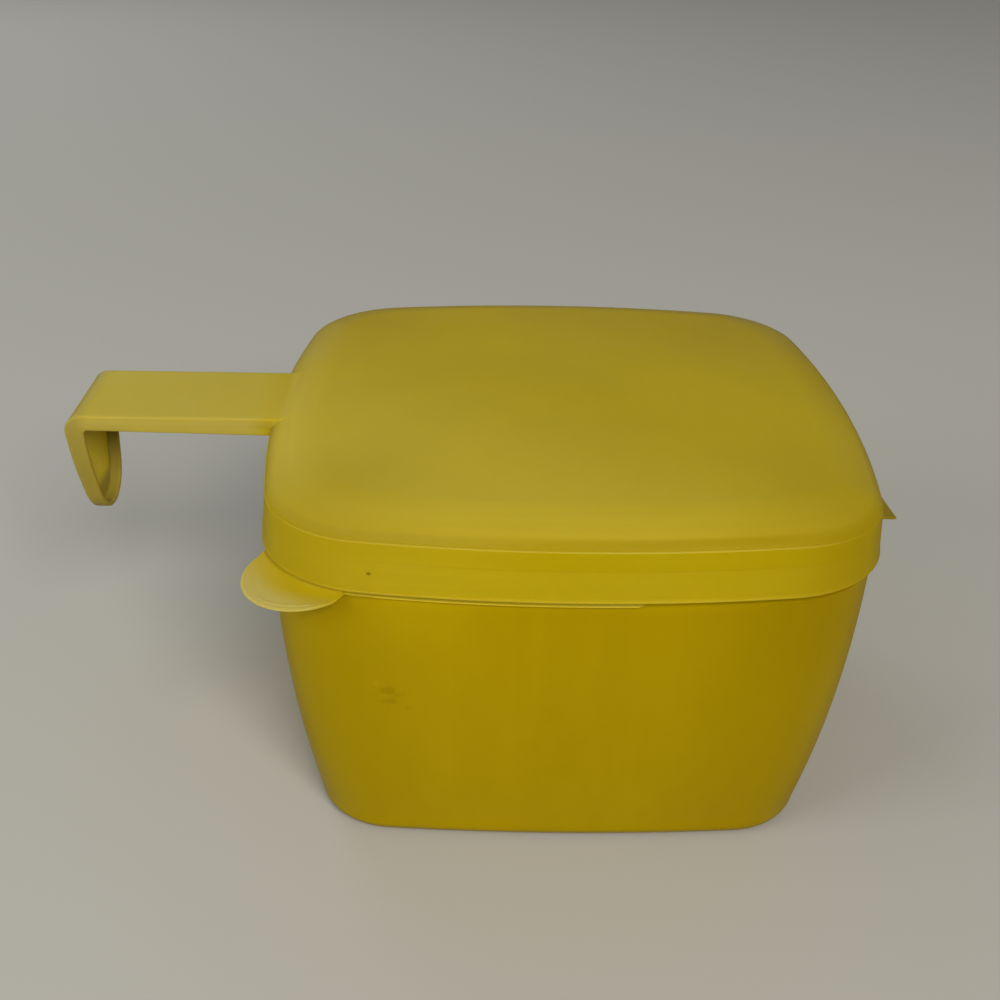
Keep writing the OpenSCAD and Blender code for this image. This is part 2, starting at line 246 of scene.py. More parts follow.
bowl = {
    "wall": 1.8,
    "floor": 2.2,
    "bow": 1.9,  # outward bow of the wall at mid height
    "footRadius": 4.6,
    "innerFootRadius": 7.0,
    "shoulderDrop": 2.2,  # where the wall steps in, below the skirt's edge
    "grooveIn": 15.0,  # the underside's groove, inside the foot
    "grooveWidth": 3.6,
    "grooveDepth": 0.7,
    "rimOut": 2.5,  # the rim's outer face, inside the skirt's outer face
    "rimThick": 2.1,
    "neckDepth": 0.45,
    "beadHeight": 2.6,
    "neckHeight": 1.2,
    "shoulderStep": 0.3,  # height of the step's slope
    "soft": {"groove": 0.5, "shoulder": 0.2, "neck": 0.6, "bead": 0.5, "rim": 0.8},  # cuts of its corners
    "wallRows": 30,
    "filletRows": 12,
}


def wallAt(z):
    # outer outline of the wall, with its bow as a parabola over the height
    foot = bowl["footRadius"]
    t = (np.asarray(z, float) - foot) / (edgeHeight - foot)
    outline = blendOutline(levels["base"], levels["mouth"], t)
    outline[..., 0] += 4 * bowl["bow"] * t * (1 - t)
    return outline


def makeBowl():
    # profile from the underside's middle, up the outside, over the rim and down the inside
    shoulder = edgeHeight - bowl["shoulderDrop"]
    step = shoulder + bowl["shoulderStep"]
    foot, inner = bowl["footRadius"], bowl["innerFootRadius"]
    footOutline = wallAt(foot)
    innerLevel = bowl["floor"] + inner
    quarter = np.linspace(0, np.pi / 2, bowl["filletRows"] + 1)
    groove, width, depth = bowl["grooveIn"], bowl["grooveWidth"], bowl["grooveDepth"]
    out, inside = bowl["rimOut"], bowl["rimOut"] + bowl["rimThick"]
    beadLevel = rimHeight - bowl["beadHeight"]
    neckLevel = beadLevel - bowl["neckHeight"]
    up = np.linspace(foot, shoulder, bowl["wallRows"] + 1)[1:]
    down = np.linspace(shoulder, innerLevel, bowl["wallRows"] + 1)[1:-1]
    rimOutline, soft = skirtAt(rimHeight), bowl["soft"]
    return turnedShell("bowlShell", softened([
        (moved(footOutline, [groove, groove - depth, groove - width + depth, groove - width],
               [0, depth, depth, 0]), soft["groove"]),
        (moved(footOutline, foot * (1 - np.sin(quarter)), foot * (1 - np.cos(quarter))), 0),
        (moved(wallAt(up), 0, up), 0),
        (moved(skirtAt(step), out, step), soft["shoulder"]),
        (moved(skirtAt(neckLevel), out + bowl["neckDepth"], neckLevel), soft["neck"]),
        (moved(skirtAt(beadLevel), out, beadLevel), soft["bead"]),
        (moved(rimOutline, [out, inside], rimHeight), soft["rim"]),
        (moved(rimOutline, inside, neckLevel), soft["neck"]),
        (moved(wallAt(shoulder), bowl["wall"], shoulder), soft["neck"]),
        (moved(wallAt(down), bowl["wall"], down), 0),
        (moved(wallAt(innerLevel), bowl["wall"] + inner * (1 - np.sin(quarter[::-1])),
               innerLevel - inner * np.cos(quarter[::-1])), 0),
    ]))


finished(makeBowl(), "bowl_body", "bowl")
print("bowl made")

seal = {
    "thick": 0.9,
    "skirt": 1.3,  # outer face of the seal's skirt, inside the cover's outer face
    "plug": 4.9,  # outer face of the inner wall
    "panelDrop": 4.7,
    "panelRun": 6.0,  # straight run from the inner wall to the panel
    "plugRound": 1.4,
    "topRound": 0.9,
    "channelSoft": 0.15,
    "hemSoft": 0.2,
    "lipDrop": 1.7,  # how far the peel lip shows below the cover
    "lipRun": 15.5,  # how far it runs past the middle of each side
    "lipRise": 1.0,  # how far it runs up behind the cover
    "lipBead": 0.22,  # the fine bead along its lower edge
    "lipBeadHalf": 0.3,  # half the bead's height
    "lipBeadTop": 0.9,  # where the plain band starts over the bead
    "lipEnd": 0.5,  # length over which its ends draw together
    "tabRadius": 14.5,
    "tabOffset": 64.9,
    "tabDroop": 4.6,  # degrees that the tab falls outwards
    "tabThick": 1.1,
    "tabEdge": 0.7,  # its thickness at the edge
    "tabUnderLip": 0.3,
    "tabRound": 0.7,
    "hornWidth": 0.45,  # width of the tab's two ends, where they run into the lip
    "hornThick": 0.5,
    "hornRun": 3.0,  # width over which the ends pass into the tab
    "roundShare": 0.45,  # most of the width that the rounding takes
    "dish": 0.12,
    "dishRuns": (3.0, 5.0),  # widths over which it deepens, from the edge and from the lip
    "border": 6.0,  # width of the zone along the edge that has the finest rows
    "borderShare": 0.6,  # most of the width that this zone takes
    "ridgeIn": 1.7,  # the tab's fine ridge, inside its edge
    "ridgeWidth": 0.3,
    "ridgeHeight": 0.3,
    "ridgeSpan": (0.0, 0.66),  # where it starts and ends, as shares of the tab's half angle
    "ridgeFade": (0.25, 0.05),  # shares over which it starts and ends
    "rootRound": 3.2,  # fillet between the tab's top and the lip
    "rootTop": 0.5,  # how far that fillet ends below the skirt's edge
}


def makeSealShell():
    # profile from the panel's underside, through the channel over the rim, back to the panel's top
    out, thick, plug = seal["skirt"], seal["thick"], seal["plug"]
    under = rimHeight + levels["gap"]
    top = under + thick
    panel = top - seal["panelDrop"]
    hem = edgeHeight + levels["gap"]
    plugOutline = skirtAt(rimHeight)
    inner, run = plug + thick, seal["panelRun"]
    return turnedShell("sealMoulding", softened([
        (moved(plugOutline, [plug + run, plug], panel - thick), seal["plugRound"]),
        (moved(plugOutline, plug, under), seal["channelSoft"]),
        (moved(skirtAt(under), out + thick, under), seal["channelSoft"]),
        (moved(skirtAt(hem), [out + thick, out], hem), seal["hemSoft"]),
        (moved(skirtAt(top), out, top), seal["topRound"]),
        (moved(plugOutline, inner, top), seal["topRound"]),
        (moved(plugOutline, [inner, inner + run], panel), seal["plugRound"]),
    ], steps=6))


def cornerRun(outline, beyond, sideCount=16, cornerCount=64):
    # open run of an outline round its (-X, -Y) corner, starting and ending beyond the sides' middles:
    # its points and outward normals
    half, corner, side = outline
    centre, turn = tangency(half, corner, side)
    past = math.asin(beyond / side)
    first = np.linspace(-past, turn, sideCount, endpoint=False)
    bend = np.linspace(turn, np.pi / 2 - turn, cornerCount, endpoint=False)
    last = np.linspace(np.pi / 2 - turn, np.pi / 2 + past, sideCount)
    angle = np.hstack([first, bend, last])
    normal = -np.stack([np.cos(angle), np.sin(angle)], -1)
    points = np.vstack([
        np.stack([half - side + side * np.cos(first), side * np.sin(first)], -1),
        np.stack([centre + corner * np.cos(bend), centre + corner * np.sin(bend)], -1),
        np.stack([side * np.cos(last), half - side + side * np.sin(last)], -1)])
    return -points, normal


def sweptBand(name, rows, points, normals, taper):
    # closed section carried along an open run; rows are (outward, z), and the section
    # draws together to its middle over the last stretch of the run, as a quarter circle
    steps = np.hypot(*np.diff(points, axis=0).T)
    along = np.hstack([0, np.cumsum(steps)])
    near = np.clip(np.minimum(along, along[-1] - along) / taper, 0.0, 1.0)
    size = np.sqrt(1 - (1 - near) ** 2)[None, :, None]
    middle = rows.mean(0)
    section = middle + (rows[:, None] - middle) * size
    grid = np.dstack([points[None] + normals[None] * section[..., :1], section[..., 1:]])
    grid = np.concatenate([grid, grid[:1]])
    return tidied(newObject(name, grid.reshape(-1, 3), gridFaces(*grid.shape[:2], closed=False)))


def makeLip():
    # the lip: a thin band with a fine bead along its lower edge
    bottom, top = edgeHeight - seal["lipDrop"], edgeHeight + seal["lipRise"]
    face, back = -seal["skirt"] - keepOff, -seal["skirt"] - seal["thick"] + 2 * keepOff
    turn, half = np.radians(np.linspace(-90, 90, 9)), seal["lipBeadHalf"]
    bead = np.stack([face + seal["lipBead"] * np.cos(turn), bottom + half + half * np.sin(turn)], -1)
    band = [[face, bottom + seal["lipBeadTop"]], [face, top], [back, top],
            [back, bottom + half], [back + half / 2, bottom]]
    points, normals = cornerRun(skirtAt(edgeHeight), seal["lipRun"], 40, 96)
    return sweptBand("peelLip", np.vstack([bead, band]), points, normals, seal["lipEnd"])


def makeTab():
    # crescent between the wall's clearance arc and the tab's round edge: columns at angles about the
    # corner's centre, rows round the section, the top rising to the lip with a fillet
    shoulder = edgeHeight - bowl["shoulderDrop"]
    half, corner, side = wallAt(shoulder)
    centre = tangency(half, corner, side)[0]
    inner = corner + levels["gap"] + keepOff
    apart = (seal["tabOffset"] - centre) * math.sqrt(2)
    radius = seal["tabRadius"]
    horn = inner + seal["hornWidth"]
    limit = math.acos((apart ** 2 + horn ** 2 - radius ** 2) / (2 * apart * horn))
    angle = limit * np.sin(np.linspace(-np.pi / 2, np.pi / 2, 121))
    outer = apart * np.cos(angle) + np.sqrt(radius ** 2 - (apart * np.sin(angle)) ** 2)
    lipLevel = edgeHeight - seal["lipDrop"]
    span = (outer - inner)[None]

    # rows of the top as distances from the tab's edge: fine ones in the border, then on to the wall's arc
    rounding = np.minimum(seal["tabRound"], seal["roundShare"] * span)
    border = np.minimum(seal["border"], seal["borderShare"] * (span - rounding))
    fine, coarse = np.linspace(1, 0, 36)[:, None], np.linspace(0, 1, 28)[:-1, None]
    fromEdge = np.vstack([span - (span - rounding - border) * coarse, rounding + border * fine])
    fromInner = span - fromEdge
    ends = np.clip(1 - (span - seal["hornWidth"]) / seal["hornRun"], 0, 1)
    ends = ends * ends * (3 - 2 * ends)
    tabTop = lipLevel - seal["tabUnderLip"]
    tabTop = tabTop + (lipLevel + seal["hornThick"] - tabTop) * ends  # the two horns rise to the lip
    flat = np.clip(1 - (fromInner - seal["hornWidth"]) / seal["rootRound"], 0, 1)
    fillet = (edgeHeight - seal["rootTop"] - tabTop) * (1 - np.sqrt(1 - flat ** 2))
    edgeRun, lipRun = seal["dishRuns"]
    dish = -seal["dish"] * np.clip((fromEdge - rounding) / edgeRun, 0, 1) * np.clip(fromInner / lipRun, 0, 1)
    off = (fromEdge - seal["ridgeIn"]) / seal["ridgeWidth"]
    start, stop = seal["ridgeSpan"]
    fadeIn, fadeOut = seal["ridgeFade"]
    place = angle[None] / limit
    ridge = seal["ridgeHeight"] * np.exp(-off ** 2) * np.clip((place - start) / fadeIn, 0, 1)
    topZ = tabTop + fillet + dish + ridge * np.clip((stop - place) / fadeOut, 0, 1)

    def thickness(distance):
        # grows from the edge over the border, and passes into the horns' own
        share = np.clip(distance / seal["border"], 0, 1)
        plain = seal["tabEdge"] + (seal["tabThick"] - seal["tabEdge"]) * share
        return plain + (seal["hornThick"] - plain) * ends

    # round the edge, then back along the underside
    t = np.radians(np.linspace(85, -85, 15))[:, None]
    edgeR = outer[None] - rounding + rounding * np.cos(t)
    edgeZ = tabTop - thickness(rounding) / 2 * (1 - np.sin(t))
    underIn = (span - rounding) * np.linspace(1, 0, 12)[:, None]
    r = np.vstack([inner + fromInner, edgeR, inner + underIn])
    beyond = centre * math.sqrt(2) + r * np.cos(angle[None]) - seal["tabOffset"] * math.sqrt(2)
    droop = math.tan(math.radians(seal["tabDroop"])) * beyond
    z = np.vstack([topZ, edgeZ, tabTop - thickness(span - underIn)]) - droop * (1 - ends)
    a = angle[None] + np.radians(225)
    return closedTube("thumbTab", np.dstack([-centre + r * np.cos(a), -centre + r * np.sin(a), z]))


finished(united(makeSealShell(), [makeLip(), makeTab()]), "seal_body", "inner_seal")
print("seal made")

cover = {
    "dome": 1.6,
    "seat": 3.0,  # the skirt's upper band
    "skirt": 1.0,
    "ledge": 0.3,  # the fine ledge where the skirt ends
    "crown": 0.3,  # how far the middle of the top stands above its border
    "domePower": 1.25,
    "domeRows": 36,
    "topLoops": (0.9, 0.75, 0.6, 0.45, 0.3, 0.15),  # loops over the top, as shares of its outline
    "edgeBead": 0.16,  # the fine bead along the skirt's lower edge
    "beadSpan": (0.75, 1.1),  # heights over the skirt's edge between which the bead runs out
    "soft": {"seat": 0.25, "edge": 0.28, "bead": 0.3, "ledge": 0.1, "crease": 0.12},  # cuts of its corners
    "lipOut": coverHigh[0] - levels["edge"][0] - keepOff,
    "lipIn": 0.5,  # how far it reaches into the skirt
    "lipLength": 75.0,
    "lipThick": 0.75,
    "lipEdge": 0.35,  # its thickness at the outer edge
    "lipCorner": 0.5,
    "lipRoot": 0.6,  # where its fillet ends, from its inner edge
    "lipFillet": 0.9,
    "lipHollow": 1.6,  # how far its outer edge is drawn in at the middle
}


def domeRows(foot, top, footZ, height, angles):
    # superellipse from the foot, at angle 0, to the top, at 90 degrees
    power = cover["domePower"]
    outline = blendOutline(top, foot, np.cos(angles) ** power)
    return moved(outline, 0, footZ + height * np.sin(angles) ** power)


def makeCoverShell():
    # profile from the hollow's top, down the inside, round the skirt's edge and up over the dome
    rise = topHeight - creaseHeight - cover["crown"]
    angles = np.linspace(0, np.pi / 2, cover["domeRows"] + 1)
    foot = np.array(levels["crease"]) - cover["ledge"]
    top = np.array(levels["top"])
    innerFoot, innerTop = np.array(levels["crease"]) - cover["seat"], top - cover["dome"]
    innerZ = creaseHeight - cover["dome"]
    seat = rimHeight + 2 * levels["gap"] + seal["thick"]
    low, high = (edgeHeight + height for height in cover["beadSpan"])
    ledge, soft = cover["ledge"], cover["soft"]
    crowned = np.vstack([np.hstack([top * share, topHeight - cover["crown"] * share ** 2])
                         for share in cover["topLoops"]])
    return turnedShell("coverMoulding", softened([
        (domeRows(innerFoot, innerTop, innerZ, rise, angles[::-1]), 0),
        (moved(skirtAt(seat), [cover["seat"], cover["skirt"]], seat), soft["seat"]),
        (moved(skirtAt(edgeHeight), [cover["skirt"], 0.0], edgeHeight), soft["edge"]),
        (moved(skirtAt(low), 0.0, low), soft["bead"]),
        (moved(skirtAt(high), cover["edgeBead"], high), soft["bead"]),
        (moved(skirtAt(creaseHeight - ledge), keepOff, creaseHeight - ledge * 0.8), soft["ledge"]),
        (moved(levels["crease"], ledge, creaseHeight), soft["crease"]),
        (domeRows(foot, top, creaseHeight, rise, angles[1:]), 0),
        (crowned, 0),
    ]))


handle = {
    "width": 32.0,
    "reach": -coverLow[0] - levels["edge"][0],  # past the skirt's lower edge
    "thick": 1.5,
    "flange": 4.3,
    "flangeSoft": 0.8,  # depth over which the slab passes into the flanges
    "flangeRound": 0.45,  # how far the rounding of their edges reaches up
    "flangeExtra": 0.7,  # how much deeper the flanges are at the dome
    "hookFlange": 5.0,  # depth of the hook's flanges at the bend
    "hookTipFlange": 4.2,
    "hookHeight": (coverHigh[2] + creaseHeight) / 2 - coverLow[2],
    "lean": 5.1,  # degrees that the hook leans towards the bowl
    "bend": 4.6,
    "innerBend": 1.2,
    "innerRound": 0.5,  # radius inside the channel
    "tipRadius": 12.5,
    "taperStart": 12.5,
    "taperSoft": 6.5,  # how far from there the taper's curve reaches, both ways
    "edge": 0.5,  # rounding of the outer edges
    "hookEdge": 0.9,  # the same along the hook
    "hookEdgeRun": 4.0,  # length over which the one passes into the other
    "rootIn": 5.6,  # how far the slab reaches into the dome's wall
    "flangeRootIn": 1.8,  # the same of the flanges
    "rootRun": 12.0,  # length over which the rows spread out from there
    "fillet": 0.5,
    "blend": 0.5,  # height over which the top face runs into the dome
    "sink": 0.25,  # how far the rows inside the dome lie under its face
    "fineRuns": (6, 48),  # lengths from the root at which the columns get coarser
}
handleTop = (coverHigh[2] + creaseHeight) / 2


def handlePaths():
    # side view of the outer face and of the flange edges, both as (s, x, z) over the outer length s
    lean, bend = math.radians(handle["lean"]), handle["bend"]
    endX = -levels["edge"][0] - handle["reach"]
    rootX = -levels["crease"][0] + handle["rootIn"]
    bendX = endX + bend
    turn = np.linspace(np.pi / 2, np.pi + lean, 25)
    arc = np.stack([bendX + bend * np.cos(turn), handleTop - bend + bend * np.sin(turn)], -1)
    tipZ = handleTop - handle["hookHeight"]
    tip = [arc[-1, 0] + (arc[-1, 1] - tipZ) * math.tan(lean), tipZ]
    run = np.vstack([[[rootX, handleTop]], arc, [tip]])
    s = np.hstack([0, np.cumsum(np.hypot(*np.diff(run, axis=0).T))])
    outer = np.column_stack([s, run])

    corner, small = handleTop - handle["flange"], handle["innerBend"]
    innerX = endX + handle["hookFlange"]
    turn = np.linspace(np.pi / 2, np.pi, 9)
    arc = np.stack([innerX + small + small * np.cos(turn), corner - small + small * np.sin(turn)], -1)
    startS = rootX - arc[0, 0]  # where the path reaches the inner bend
    endS = np.interp(-(corner - small), -run[:, 1], s)
    arcS = np.linspace(startS, endS, 9)
    deep = -levels["crease"][0]
    tipIn = [endX + handle["hookTipFlange"] + (corner - tipZ) * math.tan(lean), tipZ]
    inner = np.vstack([
        [[0, rootX, corner - handle["flangeExtra"]], [rootX - deep, deep, corner - handle["flangeExtra"]]],
        np.column_stack([arcS, arc]),
        [[s[-1], *tipIn]]])
    return outer, inner


def handleOutline(length):
    # plan of the unrolled strip, as points and outward normals: straight sides, a taper tangent
    # to the round tip, the tip, and back
    half, radius = handle["width"] / 2, handle["tipRadius"]
    outer = handlePaths()[0]
    taperS = np.interp(-(handleTop - handle["taperStart"]), -outer[:, 2], outer[:, 0])
    centreS = length - radius
    rise = centreS - taperS
    lead = math.atan2(rise, half)
    start = lead - math.acos(radius / math.hypot(half, rise))  # angle of the tangent point, from the side
    stops = (0, *handle["fineRuns"], taperS - handle["taperSoft"])
    straight = np.hstack([np.linspace(low, high, count, endpoint=False)
                          for low, high, count in zip(stops, stops[1:], (16, 24, 40))])
    side = np.stack([straight, np.full(len(straight), -half)], -1)
    sideNormal = np.tile([0.0, -1.0], (len(side), 1))
    tangent = np.array([centreS + radius * math.sin(-start), -radius * math.cos(start)])
    t = np.linspace(0, 1, 24, endpoint=False)[:, None]
    first, bent = np.array([taperS - handle["taperSoft"], -half]), np.array([taperS, -half])
    joint = bent + (tangent - bent) * handle["taperSoft"] / np.hypot(*(tangent - bent))
    curve = first * (1 - t) ** 2 + bent * 2 * t * (1 - t) + joint * t ** 2
    along = (bent - first) * (1 - t) + (joint - bent) * t
    rest = joint + (tangent - joint) * t[::4]
    taper = np.vstack([curve, rest])
    along = np.vstack([along, np.tile(tangent - joint, (len(rest), 1))])
    taperNormal = np.stack([along[:, 1], -along[:, 0]], -1) / np.hypot(*along.T)[:, None]
    turn = np.linspace(-start, np.pi / 2, 28)
    arc = np.stack([centreS + radius * np.sin(turn), -radius * np.cos(turn)], -1)
    arcNormal = np.stack([np.sin(turn), -np.cos(turn)], -1)
    points, normals = np.vstack([side, taper, arc]), np.vstack([sideNormal, taperNormal, arcNormal])
    points, normals = (np.vstack([part, part[-2::-1] * [1, -1]]) for part in (points, normals))
    return points, normals, centreS


def makeHandle():
    # unrolled strip wrapped round the side view: each row of the grid is a layer of the channel, given by
    # its inset from the strip's outline, its depth (share of the flange, plus millimetres), its pull
    # towards the middle line, and how far it faces sideways and up
    outer, inner = handlePaths()
    points, normals, centreS = handleOutline(outer[-1, 0])
    thick, edge = handle["thick"], handle["edge"]
    quarter, half = ([(math.sin(q), math.cos(q)) for q in np.radians(np.linspace(0, stop, count))]
                     for stop, count in ((90, 6), (180, 9)))
    tip, reach, hollow = 0.5 * thick, handle["flangeRound"], handle["innerRound"]
    pulls = (1.0, 0.75, 0.5, 0.25, 0.08)
    layers = [(edge, 0, 0, p, 0, 1) for p in pulls]  # the top face
    layers += [(edge * (1 - sine), 0, edge * (1 - cosine), 0, sine, cosine) for sine, cosine in quarter]
    layers += [(0, share, 0, 0, 1, 0) for share in (0.35, 0.6)]  # the outer walls
    layers += [(tip * (1 - cosine), 1, -reach * (1 - sine), 0, cosine, -sine) for sine, cosine in half]
    layers += [(thick, share, 0, 0, -1, 0) for share in (0.82, 0.75)]  # the inner walls
    layers += [(thick + hollow * (1 - cosine), 0, thick + hollow * (1 - sine), 0, -cosine, -sine)
               for sine, cosine in quarter]
    layers += [(thick + hollow, 0, thick, p, 0, -1) for p in pulls[::-1]]  # the underside
    inset, share, extra, pull, wide, up = (np.array(column)[:, None] for column in zip(*layers))
    bendEnd = outer[-2, 0]
    onHook = np.clip((points[None, :, 0] - bendEnd) / handle["hookEdgeRun"], 0, 1)
    rounder = (handle["hookEdge"] / edge - 1) * onHook
    isOuter = (share == 0) & (extra < thick)
    inset, extra = inset * (1 + rounder * isOuter), extra * (1 + rounder * isOuter)

    # slab rows run deeper into the dome's wall than the flanges
    below = share * handle["flange"] + extra - thick
    isFlange = np.clip(below / handle["flangeSoft"], 0, 1) * (1 - isOuter)
    shift = (handle["rootIn"] - handle["flangeRootIn"]) * isFlange

    def place(inset, extra):
        s = points[None, :, 0] - inset * normals[None, :, 0]
        w = points[None, :, 1] - inset * normals[None, :, 1]
        s = s + (np.minimum(s, centreS) - s) * pull
        w = w * (1 - pull)
        s = s + shift * np.clip(1 - s / handle["rootRun"], 0, 1)
        ox, oz = (np.interp(s, outer[:, 0], outer[:, k]) for k in (1, 2))
        ix, iz = (np.interp(s, inner[:, 0], inner[:, k]) for k in (1, 2))
        depth = np.hypot(ix - ox, iz - oz)
        part = (share * depth + extra) / depth
        return np.stack([ox + (ix - ox) * part, w, oz + (iz - oz) * part], -1)

    # near the dome the sides flare out as a concave quarter circle, by their distance from its surface
    plain = place(inset, extra)
    crease, top, power = levels["crease"], levels["top"], cover["domePower"]
    domeRise, domeRun = topHeight - creaseHeight - cover["crown"], crease[0] - cover["ledge"] - top[0]
    lean = np.arcsin(np.clip((plain[..., 2] - creaseHeight) / domeRise, 0, 1) ** (1 / power))
    drop = plain[..., 1] ** 2 / (2 * crease[2])
    across = top[0] + domeRun * np.cos(lean) ** power - drop
    steep = np.cos(np.arctan2(domeRun * np.sin(lean) ** (2 - power), domeRise * np.cos(lean) ** (2 - power)))
    away = np.clip((-across - plain[..., 0]) * steep / handle["fillet"], 0, 1)
    flare = handle["fillet"] * (1 - np.sqrt(1 - (1 - away) ** 2))
    grid = place(inset - flare * np.maximum(wide, 0), extra)

    # the top face runs up into the dome: a smooth maximum of its own height and the dome's
    outwards = np.clip((-plain[..., 0] - drop - top[0]) / domeRun, 0, 1)
    domeZ = creaseHeight + domeRise * np.sin(np.arccos(outwards ** (1 / power))) ** power
    domeZ = np.where(-grid[..., 0] > crease[0] - cover["ledge"] - drop, 0.0, domeZ)
    soft = handle["blend"]
    over = domeZ - grid[..., 2]
    near = np.maximum(soft - np.abs(over), 0) / soft
    lifted = np.maximum(domeZ, grid[..., 2]) + near ** 2 * soft / 4
    lifted = lifted - handle["sink"] * np.clip(over / soft - 1, 0, 1)
    rise = np.minimum(lifted, topHeight - cover["crown"]) - grid[..., 2]
    grid[..., 2] += rise * np.maximum(up, 0) * isOuter
    count, columns = grid.shape[:2]
    faces = list(gridFaces(count, columns, closed=False))
    k = np.arange(count // 2)
    for column in (0, columns - 1):  # the root's end faces join each outer row to its inner one
        near, far = k * columns + column, (count - 1 - k) * columns + column
        faces += list(np.stack([near[:-1], near[1:], far[1:], far[:-1]], -1))
    return tidied(newObject("hookedHandle", grid.reshape(-1, 3), faces))


def makeFarLip():
    # thin plate along the skirt's lower edge: columns along Y, its outer edge rounded and its corners
    # drawn in as quarter circles
    half, thick, corner = cover["lipLength"] / 2, cover["lipThick"], cover["lipCorner"]
    y = half * np.sin(np.linspace(-np.pi / 2, np.pi / 2, 81))
    over = np.clip((np.abs(y) - (half - corner)) / corner, 0, 1)
    side = levels["edge"][2]
    inner = levels["edge"][0] - cover["lipIn"] - (side - np.sqrt(side ** 2 - y ** 2))
    outer = levels["edge"][0] + cover["lipOut"] - corner * (1 - np.sqrt(1 - over ** 2))
    outer = outer - cover["lipHollow"] * (1 - (y / half) ** 2)
    turn = np.radians(np.linspace(-90, 90, 9))[:, None]
    low = edgeHeight + keepOff
    edge, fillet = cover["lipEdge"] / 2, cover["lipFillet"]
    face = outer - edge + edge * np.cos(turn)
    faceZ = low + edge + edge * np.sin(turn)
    blend = np.array([0.0, 0.15, 0.35, 0.6, 0.9])[:, None]  # steps up the fillet against the skirt
    topX = inner + cover["lipRoot"] + fillet - fillet * blend
    topZ = low + thick + fillet * (1 - np.sqrt(1 - blend ** 2))
    x = np.vstack([inner[None], face, topX, inner[None]])
    z = np.broadcast_to(np.vstack([[[low]], faceZ, topZ, topZ[-1:]]), x.shape)
    return closedTube("farLip", np.dstack([x, np.broadcast_to(y, x.shape), z]))


finished(united(makeCoverShell(), [makeHandle(), makeFarLip()]),
         "cover_body", "handled_cover")
print("cover made")


def linear(red, green, blue):
    # colour written as 0 to 255 in display values
    c = np.array([red, green, blue]) / 255
    return (*np.where(c <= 0.04045, c / 12.92, ((c + 0.055) / 1.055) ** 2.4), 1.0)


def addNode(tree, kind, inputs=(), **settings):
    node = tree.nodes.new(kind)
    for key, value in settings.items():
        setattr(node, key, value)
    for key, value in dict(inputs).items():
        if isinstance(value, bpy.types.NodeSocket):
            tree.links.new(value, node.inputs[key])
        else:
            node.inputs[key].default_value = value
    return node


def newGroup(name, inputs, outputs):
    tree = bpy.data.node_groups.new(name, "ShaderNodeTree")
    for label, kind, value in inputs:
        socket = tree.interface.new_socket(label, in_out="INPUT", socket_type="NodeSocket" + kind)
        if value is not None:
            socket.default_value = value
    for label, kind in outputs:
        tree.interface.new_socket(label, in_out="OUTPUT", socket_type="NodeSocket" + kind)
    return tree, tree.nodes.new("NodeGroupInput").outputs, tree.nodes.new("NodeGroupOutput").inputs


def maths(tree, operation, a, b=0.0):
    return addNode(tree, "ShaderNodeMath", {0: a, 1: b}, operation=operation).outputs[0]


def ranged(tree, value, low, high, outLow=0.0, outHigh=1.0):
    return addNode(tree, "ShaderNodeMapRange", {"Value": value, "From Min": low, "From Max": high,
                   "To Min": outLow, "To Max": outHigh}, interpolation_type="SMOOTHSTEP").outputs[0]


def mixed(tree, factor, a, b):
    # of the node's sockets, 6 and 7 are the two colours and output 2 is the mixed one
    return addNode(tree, "ShaderNodeMix", {0: factor, 6: a, 7: b}, data_type="RGBA").outputs[2]


def noiseAt(tree, vector, scale, detail, roughness=0.5):
    return addNode(tree, "ShaderNodeTexNoise", {"Vector": vector, "Scale": scale, "Detail": detail,
                   "Roughness": roughness}).outputs[0]


skin = {
    "clouds": (0.36, 0.66),  # noise values between which a mask rises, here and in the next three
    "scratches": (0.69, 0.76),
    "rubbed": (0.42, 0.68),
    "flow": (0.35, 0.68),
    "smallClouds": 5.5,  # how much finer the small clouds are
    "smallShare": 0.25,
    "scratchWays": ((0.5, 26.0), (-0.9, 34.0), (1.35, 22.0)),  # turn and stretch of each set
    "scratchScale": 34.0,
    "rubbedScale": 24.0,
    "grainHeight": 0.25,
    "markScale": 420.0,
}


def makeCloudGroup():
    # soft clouds of paler plastic, two sizes of noise added together
    tree, given, out = newGroup("mouldClouds", [("Vector", "Vector", None), ("Size", "Float", 30.0),
                                ("Strength", "Float", 0.5)], [("Mask", "Float")])
    big = noiseAt(tree, given["Vector"], given["Size"], 3.0, 0.55)
    small = noiseAt(tree, given["Vector"], maths(tree, "MULTIPLY", given["Size"], skin["smallClouds"]), 2.0)
    both = maths(tree, "ADD", maths(tree, "MULTIPLY", big, 1 - skin["smallShare"]),
                 maths(tree, "MULTIPLY", small, skin["smallShare"]))
    mask = maths(tree, "MULTIPLY", ranged(tree, both, *skin["clouds"]), given["Strength"])
    tree.links.new(mask, out["Mask"])
    return tree


